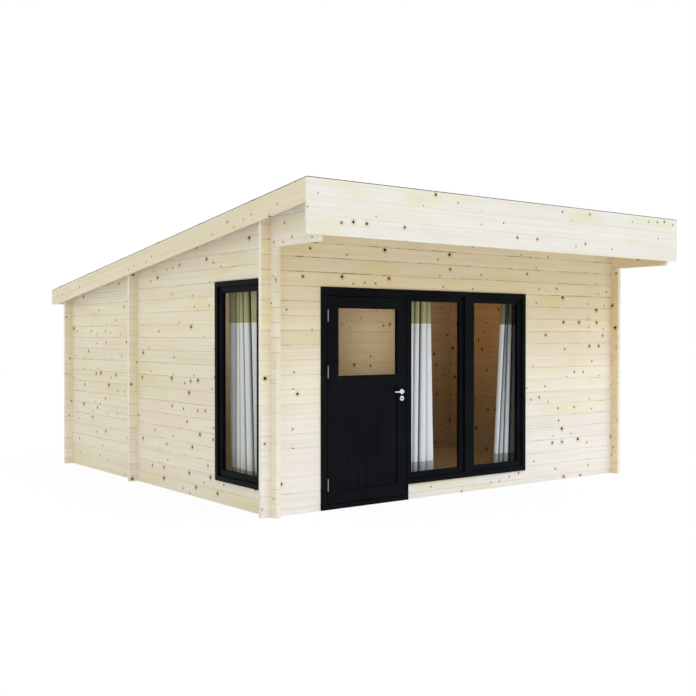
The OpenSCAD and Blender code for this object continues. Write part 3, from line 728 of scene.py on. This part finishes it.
def glazing_beads(material):
    """Beads on both sides of each window pane and of the door's glass."""
    def on_y(plane, way):
        return lambda u, v, out: Vector((u, plane + way * out, v))

    def on_x(plane, way):
        return lambda u, v, out: Vector((plane + way * out, u, v))

    def sash_faces(outside):
        """Pane faces and bar faces of a sash, from the outer face of its frame."""
        bar = outside + SASH_INSET
        pane = bar + PANE_INSET
        return [(pane, bar, -1), (pane + GLASS_T, bar + SASH_T, 1)]

    mesh = bmesh.new()
    sill_low, sill_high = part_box("front_frame_sill")
    light_w = (sill_high.x - sill_low.x - MULLION_FACE) / 2
    z0 = sill_high.z + SASH_FACE
    z1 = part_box("front_frame_uprights")[1].z - FRAME_FACE - SASH_FACE
    for k in range(2):
        x = sill_low.x + k * (light_w + MULLION_FACE)
        both_faces(mesh, on_y, sash_faces(sill_low.y), (x + SASH_FACE, x + light_w - SASH_FACE, z0, z1))
    low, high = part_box("side_frame_uprights")
    inset = FRAME_FACE + SASH_FACE
    box = (low.y + inset, high.y - inset, low.z + inset, high.z - inset)
    both_faces(mesh, on_x, sash_faces(low.x), box)
    piece("window_beads", mesh, material, "shed")

    mesh = bmesh.new()
    glass_low, glass_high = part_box("door_glass")
    leaf_low, leaf_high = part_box("door_stiles")
    box = (
        glass_low.x + GROOVE_D, glass_high.x - GROOVE_D,
        glass_low.z + GROOVE_D, glass_high.z - GROOVE_D,
    )
    both_faces(mesh, on_y, [(glass_low.y, leaf_low.y, -1), (glass_high.y, leaf_high.y, 1)], box)
    piece("door_beads", mesh, material, "door")


# Lock plugs

PLUG_R = 0.0096
PLUG_SLOT = 0.0022
PLUG_L = 0.008
PLUG_SINK = 0.0006
PLUG_STEPS = 14


def lock_plugs(material):
    """Round plug with a key slot in each key rose."""
    low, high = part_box("door_roses")
    rose_r = (high.x - low.x) / 2
    x, z = low.x + rose_r, low.z + rose_r
    mesh = bmesh.new()
    for face, way in ((low.y, 1), (high.y, -1)):
        start = Vector((x, face + way * PLUG_SINK, z))
        for side in (-1, 1):
            first = math.asin(PLUG_SLOT / 2 / PLUG_R)
            turns = [first + (math.pi - 2 * first) * k / PLUG_STEPS for k in range(PLUG_STEPS + 1)]
            section = [
                Vector((side * math.sin(turn) * PLUG_R, 0, math.cos(turn) * PLUG_R)) for turn in turns
            ]
            section = [Vector((side * max(abs(p.x), PLUG_SLOT / 2), 0, p.z)) for p in section]
            prism(mesh, section, start, start + Vector((0, way * PLUG_L, 0)))
    piece("lock_plugs", mesh, material, "door")


# Curtains

CLOTH_MARGIN = 0.004
HEADER_SHARE = 0.60
GATHER_POWER = 0.5
VALLEY_PINCH = 0.85
FOLD_DEPTH_SHARE = 0.32
VALLEY_FLOOR = 0.055
FOLD_LIFT = 0.24
NEXT_VALLEY = (0.93, 1.0)
DEEPEST_SHADE = 0.98
CURTAIN_ROWS = 70
FOLD_STEPS = 30

# Each fold: where the valley before it lies at the rail and at the hem, as shares of the curtain's
# width, how dark that valley is, and how much the whole fold is dimmed at the rail and at the hem.
# The pair at the end is where the last fold stops.
FRONT_LEFT_FOLDS = [
    (0.03, 0.03, 0.50, 0.00, 0.00),
    (0.25, 0.21, 0.50, 0.00, 0.00),
    (0.49, 0.42, 0.55, 0.00, 0.00),
    (0.65, 0.575, 0.97, 0.00, 0.00),
    (0.845, 0.815, 0.25, 0.00, 0.00),
    (0.93, 1.0),
]
FRONT_RIGHT_FOLDS = [
    (0.43, 0.05, 0.05, 0.10, 0.00),
    (0.63, 0.19, 0.90, 0.85, 0.20),
    (0.71, 0.43, 0.97, 0.35, 0.00),
    (0.92, 0.685, 0.98, 0.85, 0.75),
    (0.99, 0.98),
]
SIDE_FOLDS = [
    (0.03, 0.03, 0.50, 0.00, 0.00),
    (0.28, 0.20, 0.50, 0.00, 0.40),
    (0.55, 0.415, 0.98, 0.00, 0.05),
    (0.695, 0.585, 0.98, 0.00, 0.10),
    (0.79, 0.735, 0.60, 0.00, 0.15),
    (0.85, 0.85, 0.50, 0.12, 0.45),
    (1.0, 0.93),
]


def step(low, high, value):
    """Smooth step from 0 to 1 while the value goes from low to high."""
    share = min(1.0, max(0.0, (value - low) / (high - low)))
    return share * share * (3 - 2 * share)


def curtain(node, run, folds, material, band_shade=0.0):
    """Cloth in broad folds on the window's side, with narrow valleys on the room's side.

    band_shade is how much the band at the top is dimmed, where it hangs in the dark of a corner.
    """
    low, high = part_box(node)
    middle = (low + high) / 2
    width = (high - low)[run]
    reach = (high - low)[1 - run] / 2 - CLOTH_MARGIN
    last = len(folds) - 2
    columns = (last + 1) * FOLD_STEPS
    mesh = bmesh.new()
    uv_layer = mesh.loops.layers.uv.new("cloth")
    shade_layer = mesh.verts.layers.float.new(FOLD_SHADE)
    grid, lengths = [], []
    for j in range(CURTAIN_ROWS + 1):
        down = j / CURTAIN_ROWS
        gather = HEADER_SHARE + (1 - HEADER_SHARE) * down ** GATHER_POWER
        level = high.z + (low.z - high.z) * down
        lit = 1 - band_shade * step(OLIVE_FROM_Z - BAND_EDGE, OLIVE_FROM_Z + BAND_EDGE, level)
        points, row = [], []
        for k in range(columns + 1):
            n = min(k // FOLD_STEPS, last)
            span = math.pi if n == last else math.tau
            turn = span * (k / FOLD_STEPS - n)
            share = (turn - VALLEY_PINCH * math.sin(turn)) / span
            before, after = [width * (fold[0] + (fold[1] - fold[0]) * down) for fold in folds[n:n + 2]]
            depth = min(reach, FOLD_DEPTH_SHARE * (after - before)) * gather
            point = Vector((middle.x, middle.y, level))
            point[run] = low[run] + before + (after - before) * share
            point[1 - run] += depth * math.cos(turn)
            points.append(point)
            vert = mesh.verts.new(point)
            dark, dim_top, dim_hem = folds[n][2:]
            dim = dim_top + (dim_hem - dim_top) * down
            turns = math.tau / span
            valley = dark * (1 - step(VALLEY_FLOOR * turns, FOLD_LIFT * turns, share))
            if n < last:
                valley += folds[n + 1][2] * step(*NEXT_VALLEY, share)
            vert[shade_layer] = 1 - lit * (1 - dim) * (1 - min(DEEPEST_SHADE, valley))
            row.append(vert)
        lengths.append(sum((b - a).length for a, b in zip(points, points[1:])))
        grid.append(row)
    cut_w = sum(lengths) / len(lengths)
    cut_l = high.z - low.z
    for j in range(CURTAIN_ROWS):
        for k in range(columns):
            corners = ((j, k), (j, k + 1), (j + 1, k + 1), (j + 1, k))
            face = mesh.faces.new([grid[a][b] for a, b in corners])
            for loop, (a, b) in zip(face.loops, corners):
                loop[uv_layer].uv = (cut_w * b / columns, cut_l * (1 - a / CURTAIN_ROWS))
    made = piece(node + "_cloth", mesh, material, "shed", smooth=True)
    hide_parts(node)


RING_R = 0.0135
RING_WIRE_R = 0.0018
RING_STEPS = 20
WIRE_STEPS = 8
RINGS_ON = [("front_left_curtain", 0, 8), ("front_right_curtain", 0, 6), ("side_curtain", 1, 11)]


def torus(mesh, centre, run):
    """Ring of wire around a rail that runs along an axis."""
    loops = []
    for k in range(RING_STEPS):
        turn = math.tau * k / RING_STEPS
        loop = []
        for n in range(WIRE_STEPS):
            wire = math.tau * n / WIRE_STEPS
            reach = RING_R + RING_WIRE_R * math.cos(wire)
            offset = Vector((0, 0, reach * math.sin(turn)))
            offset[run] = RING_WIRE_R * math.sin(wire)
            offset[1 - run] = reach * math.cos(turn)
            loop.append(mesh.verts.new(centre + offset))
        loops.append(loop)
    for first, second in zip(loops, loops[1:] + loops[:1]):
        skin(mesh, first, second)


def curtain_rings(material):
    """Rings on the rails over each curtain."""
    mesh = bmesh.new()
    for node, run, count in RINGS_ON:
        low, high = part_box(node)
        for k in range(count):
            at = (low + high) / 2
            at[run] = low[run] + (high[run] - low[run]) * (k + 0.5) / count
            at.z = high.z + RAIL_R
            torus(mesh, at, run)
    piece("curtain_rings", mesh, material, "shed", smooth=True)


# Finishes for the nodes

def finish_nodes(finishes):
    """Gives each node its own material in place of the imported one."""
    for material, names in finishes:
        for name in names:
            slots = nodes[name].data.materials
            slots.clear()
            slots.append(material)


fascia_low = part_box("front_fascia")[0]
rear_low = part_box("rear_fascia")[0]
felt_low, felt_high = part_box("roof_felt")
barge_line = felt_high.z + felt_low.y * ROOF_FALL

logs_x = spruce("log_spruce_x", "X", "Z", FIRST_SEAM_X, LOG_H, FRONT_PAINTED_SHADE, joint=FRONT_JOINT)
logs_rear = spruce("log_spruce_rear", "X", "Z", FIRST_SEAM_X, LOG_H, REAR_PAINTED_SHADE, seed=131.0)
logs_y = spruce("log_spruce_y", "Y", "Z", FIRST_SEAM_Y, LOG_H, SIDE_PAINTED_SHADE, seed=211.0, knots=1.05)
fascia = spruce(
    "fascia_spruce", "X", "Z", fascia_low.z, FASCIA_BOARD_H, FASCIA_TINT,
    seed=31.0, joint=FASCIA_JOINT, knots=0.75,
)
rear_fascia = spruce(
    "rear_fascia_spruce", "X", "Z", rear_low.z, BARGE_H, TRIM_TINT, seed=47.0, joint=NO_JOINT
)
barge = spruce(
    "barge_spruce", "Y", "Z", barge_line - BARGE_H, BARGE_H, TRIM_TINT,
    shear=ROOF_FALL, seed=61.0, joint=NO_JOINT,
)
beams = spruce("beam_spruce", "X", "Z", first=0.0, pitch=1.0, tint_and_shade=TRIM_TINT, seed=71.0)
casing_upright = spruce(
    "casing_spruce_upright", "Z", "X", first=-1.0, pitch=1.0, tint_and_shade=TRIM_TINT, seed=83.0
)
casing_level = spruce(
    "casing_spruce_level", "X", "Z", first=2.0, pitch=1.0, tint_and_shade=TRIM_TINT, seed=89.0
)
black_upright = black_paint("black_paint_upright", "Z")
black_level = black_paint("black_paint_level", "XY")
glass = clear_glass("clear_glass_pane")
steel = brushed_steel("brushed_steel", *BRIGHT_STEEL)
dull_steel = brushed_steel("dull_steel", *DULL_STEEL)
felt = mineral_felt("mineral_felt")
cloth = curtain_cloth("curtain_cloth")

finish_nodes([
    (logs_x, ["front_wall_left", "front_wall_right", "front_wall_sill", "front_wall_upper"]),
    (logs_rear, ["back_wall", "partition_left", "partition_right", "partition_upper"]),
    (logs_y, [
        "left_wall_front", "left_wall_rear", "left_wall_sill", "left_wall_upper",
        "right_wall_lower", "right_wall_upper",
    ]),
    (fascia, ["front_fascia"]),
    (rear_fascia, ["rear_fascia"]),
    (barge, ["barge_boards"]),
    (beams, ["roof_purlins", "floor_joists"]),
    (casing_upright, ["inner_doorway_jambs"]),
    (casing_level, ["inner_doorway_head"]),
    (black_upright, [
        "front_frame_uprights", "side_frame_uprights", "sash_stiles", "door_stiles", "door_panel",
    ]),
    (black_level, [
        "front_frame_head", "front_frame_sill", "door_threshold", "side_frame_head_and_sill",
        "sash_rails", "door_rails",
    ]),
    (glass, ["window_glass", "door_glass"]),
    (steel, ["door_roses", "door_lever", "curtain_rails"]),
    (dull_steel, ["hinge_frame_halves", "hinge_leaf_halves"]),
    (felt, ["roof_felt"]),
])

roof_boards()
floor_boards()
felt_laps(felt)
glazing_beads(black_upright)
lock_plugs(black_upright)
curtain("front_left_curtain", 0, FRONT_LEFT_FOLDS, cloth)
curtain("front_right_curtain", 0, FRONT_RIGHT_FOLDS, cloth, band_shade=0.45)
curtain("side_curtain", 1, SIDE_FOLDS, cloth)
curtain_rings(steel)


# Stage, light and camera

def seen(tree):
    """One for rays that show the background, zero for rays that light the object."""
    path = tree.nodes.new("ShaderNodeLightPath")
    share = path.outputs["Is Camera Ray"]
    for name in ("Is Glossy Ray", "Is Transmission Ray"):
        larger = tree.nodes.new("ShaderNodeMath")
        larger.operation = "MAXIMUM"
        tree.links.new(share, larger.inputs[0])
        tree.links.new(path.outputs[name], larger.inputs[1])
        share = larger.outputs[0]
    return share


def floor():
    """Pale floor that is nearly white to the camera and keeps the shed's shadow."""
    half = STAGE_SIZE / 2
    corners = [(-half, -half), (half, -half), (half, half), (-half, half)]
    mesh = bmesh.new()
    mesh.faces.new([mesh.verts.new((x, y, -STAGE_DROP)) for x, y in corners])
    data = bpy.data.meshes.new("floor")
    mesh.to_mesh(data)
    mesh.free()
    material = bpy.data.materials.new("floor_white")
    material.use_nodes = True
    tree = material.node_tree
    tree.nodes.clear()
    diffuse = tree.nodes.new("ShaderNodeBsdfDiffuse")
    diffuse.inputs["Color"].default_value = STAGE_COLOUR
    glow = tree.nodes.new("ShaderNodeEmission")
    scale = tree.nodes.new("ShaderNodeMath")
    scale.operation = "MULTIPLY"
    scale.inputs[1].default_value = STAGE_GLOW
    tree.links.new(seen(tree), scale.inputs[0])
    both = tree.nodes.new("ShaderNodeMixShader")
    tree.links.new(scale.outputs[0], both.inputs[0])
    tree.links.new(diffuse.outputs[0], both.inputs[1])
    tree.links.new(glow.outputs[0], both.inputs[2])
    output = tree.nodes.new("ShaderNodeOutputMaterial")
    tree.links.new(both.outputs[0], output.inputs["Surface"])
    data.materials.append(material)
    made = bpy.data.objects.new("floor", data)
    bpy.context.scene.collection.objects.link(made)


def dome():
    """Surroundings that look white, and light the shed warm from the side and cool from above."""
    world = bpy.data.worlds.new("surroundings")
    bpy.context.scene.world = world
    world.use_nodes = True
    tree = world.node_tree
    place = tree.nodes.new("ShaderNodeTexCoord")
    height = tree.nodes.new("ShaderNodeSeparateXYZ")
    tree.links.new(place.outputs["Generated"], height.inputs[0])
    blend = tree.nodes.new("ShaderNodeMapRange")
    blend.inputs["From Max"].default_value = DOME_TURN
    tree.links.new(height.outputs["Z"], blend.inputs["Value"])
    sky = tree.nodes.new("ShaderNodeMix")
    sky.data_type = "RGBA"
    tree.links.new(blend.outputs["Result"], sky.inputs[0])
    sky.inputs[6].default_value = DOME_LOW
    sky.inputs[7].default_value = DOME_HIGH
    shown = tree.nodes.new("ShaderNodeMix")
    shown.data_type = "RGBA"
    tree.links.new(seen(tree), shown.inputs[0])
    tree.links.new(sky.outputs[2], shown.inputs[6])
    shown.inputs[7].default_value = DOME_SHOWN
    tree.links.new(shown.outputs[2], tree.nodes["Background"].inputs["Color"])


def lamps():
    """Broad soft key on the front, and soft light on the walls of the front room."""
    key = bpy.data.lights.new("soft_key", "SUN")
    key.energy = KEY_LEVEL
    key.color = KEY_COLOUR
    key.angle = KEY_SPREAD
    made = bpy.data.objects.new("soft_key", key)
    made.rotation_euler = (math.pi / 2 - KEY_ELEVATION, 0, KEY_AZIMUTH)
    bpy.context.scene.collection.objects.link(made)
    for name, at, heading, colour, power in ROOM_LAMPS:
        lamp = bpy.data.lights.new(name, "AREA")
        lamp.energy = power
        lamp.color = colour
        lamp.size = ROOM_LAMP_SIZE
        lamp.spread = ROOM_LAMP_SPREAD
        made = bpy.data.objects.new(name, lamp)
        made.location = at
        made.rotation_euler = (math.radians(ROOM_LAMP_TILT), 0, math.radians(heading))
        made.visible_camera = False
        bpy.context.scene.collection.objects.link(made)


def camera():
    lens = bpy.data.cameras.new("camera")
    lens.lens = CAMERA_LENS
    made = bpy.data.objects.new("camera", lens)
    made.location = CAMERA_AT
    made.rotation_euler = (CAMERA_PITCH, 0, CAMERA_TURN)
    bpy.context.scene.collection.objects.link(made)
    bpy.context.scene.camera = made


floor()
dome()
lamps()
camera()
bpy.context.scene.view_settings.view_transform = "Standard"
